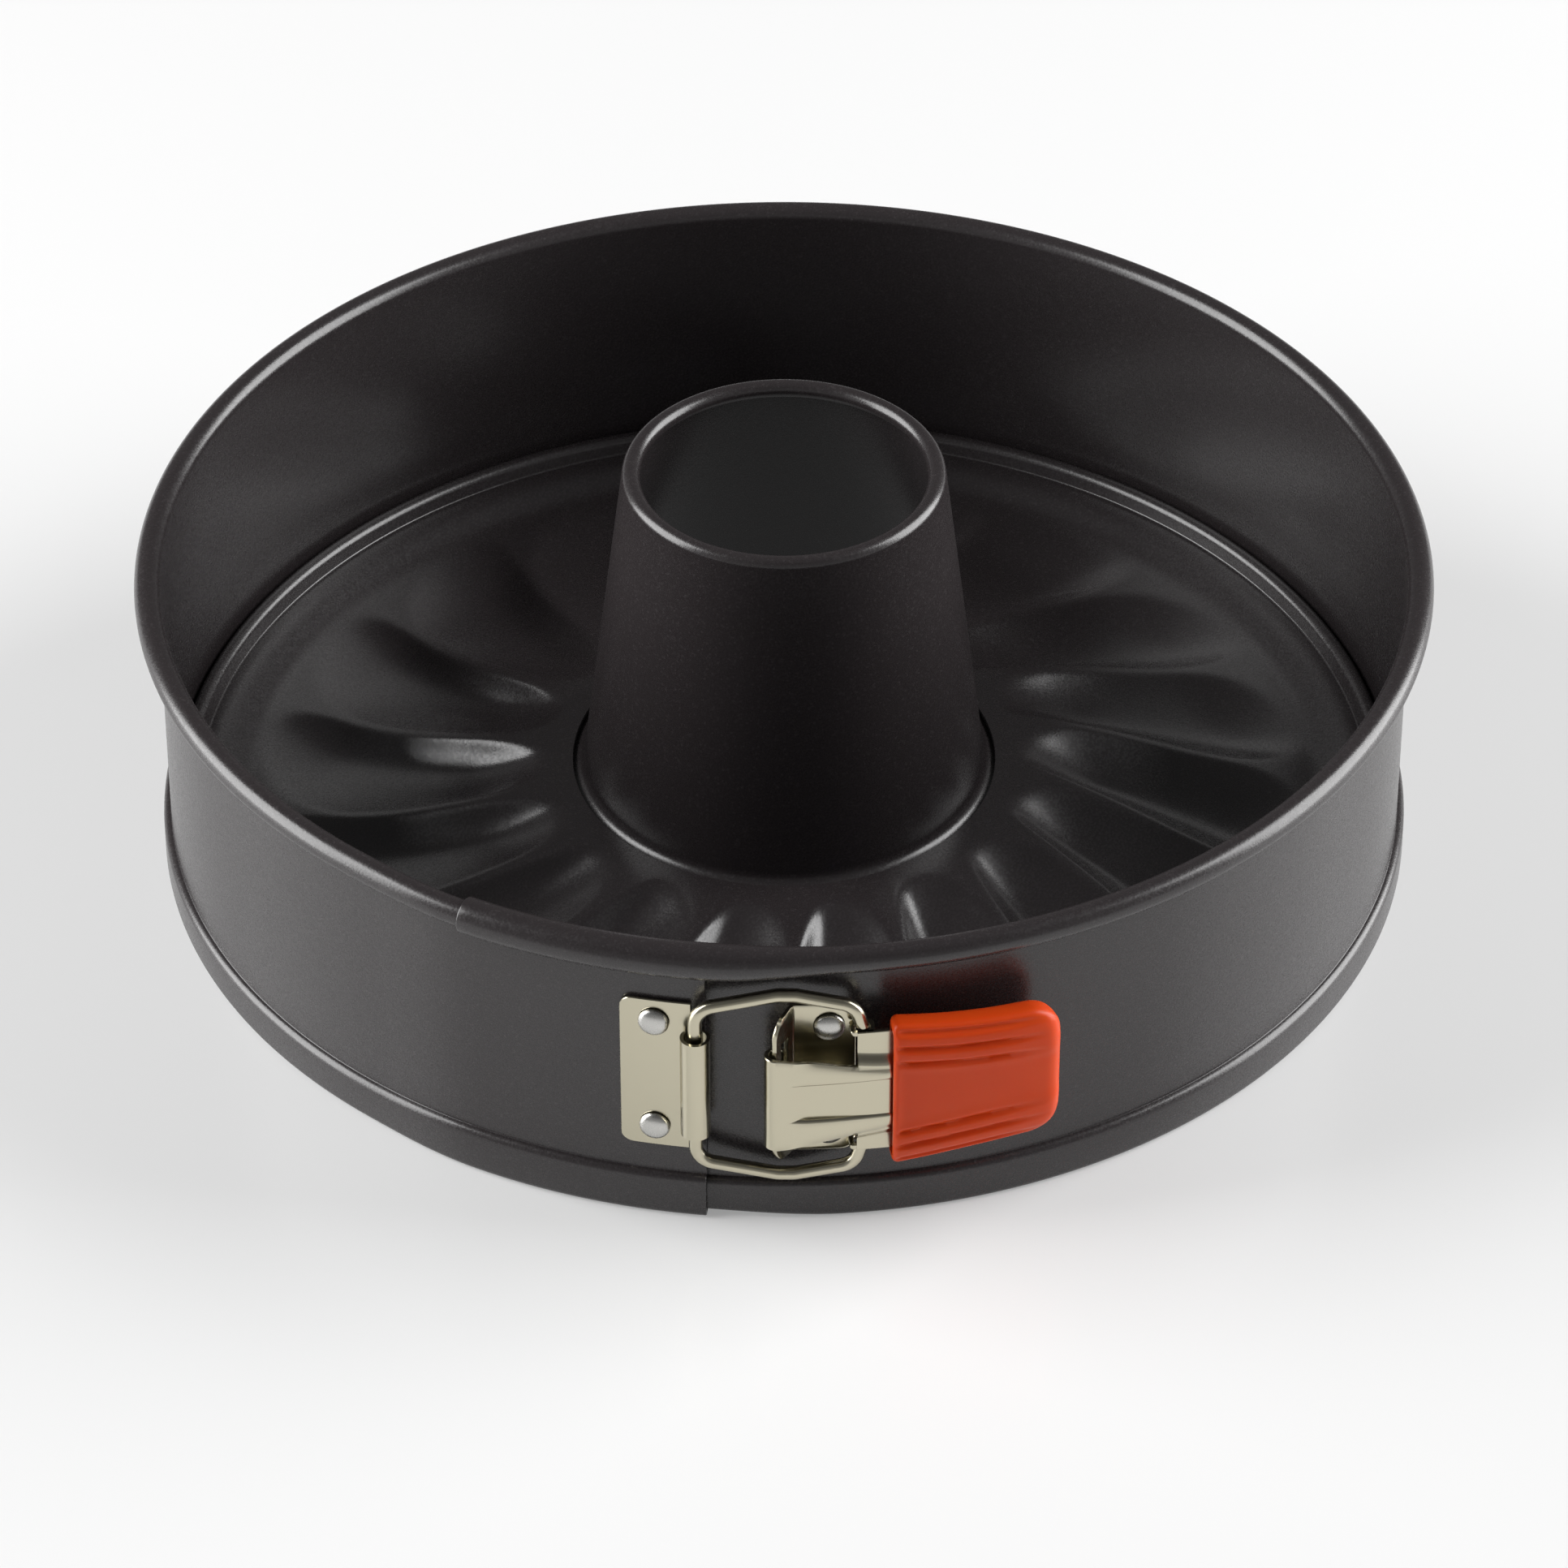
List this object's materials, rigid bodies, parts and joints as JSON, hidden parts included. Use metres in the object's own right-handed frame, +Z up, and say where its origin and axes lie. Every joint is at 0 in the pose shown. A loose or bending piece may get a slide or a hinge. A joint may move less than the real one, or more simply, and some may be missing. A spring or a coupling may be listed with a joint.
{
  "type": "springform ring cake pan",
  "caption": "Round springform ring cake pan: sprung steel side ring with a wire-and-lever clasp around a removable fluted base with an open centre tube.",
  "frame": {"origin": "on the pan's axis, level with the side ring's bottom edge; the clasp moves the box's middle 1.9 mm from it", "axes": "+Z up along the pan's axis, -Y towards the clasp at the front, +X to the right as the clasp is faced"},
  "size_m": [0.271, 0.2752, 0.0907],
  "materials": {
    "coated_steel": "charcoal non-stick coating on carbon steel, satin, with a fine sparkle",
    "nickel_plate": "nickel-plated pressed steel, bright and slightly warm",
    "rivet_aluminium": "satin aluminium",
    "silicone": "orange moulded silicone, satin"
  },
  "bodies": {
    "base": {"base_plate": "coated_steel", "centre_tube": "coated_steel"},
    "ring": {"ring_band": "coated_steel", "lever_bracket": "nickel_plate", "bracket_rivet_upper": "rivet_aluminium", "bracket_rivet_lower": "rivet_aluminium"},
    "free_end": {"hinge_plate": "nickel_plate", "hinge_plate_rivet_upper": "rivet_aluminium", "hinge_plate_rivet_lower": "rivet_aluminium"},
    "bail": {"wire_bail": "nickel_plate"},
    "clasp_lever": {"lever": "nickel_plate", "lever_grip": "silicone"}
  },
  "joints": [
    {"name": "ring_lift", "type": "slide", "parent": "base", "child": "ring", "axis": [0, 0, 1], "range_m": [0, 0.095]},
    {"name": "lever_swing", "type": "hinge", "parent": "ring", "child": "clasp_lever", "pos_m": [-0.00146, -0.13689, 0.0362], "axis": [0, 0, -1], "range_deg": [0, 150]},
    {"name": "ring_spring", "type": "hinge", "parent": "ring", "child": "free_end", "pos_m": [0, 0.13065, 0.0362], "axis": [0, 0, -1], "range_deg": [0, 5.53], "deforming": ["ring_band"]},
    {"name": "bail_swing", "type": "hinge", "parent": "free_end", "child": "bail", "pos_m": [-0.01775, -0.13363, 0.0362], "axis": [0, 0, -1], "range_deg": [0, 24.17]}
  ],
  "couplings": [
    {"joint": "ring_spring", "follows": "lever_swing", "ratio": 0.036842},
    {"joint": "bail_swing", "follows": "lever_swing", "ratio": 0.16111}
  ]
}
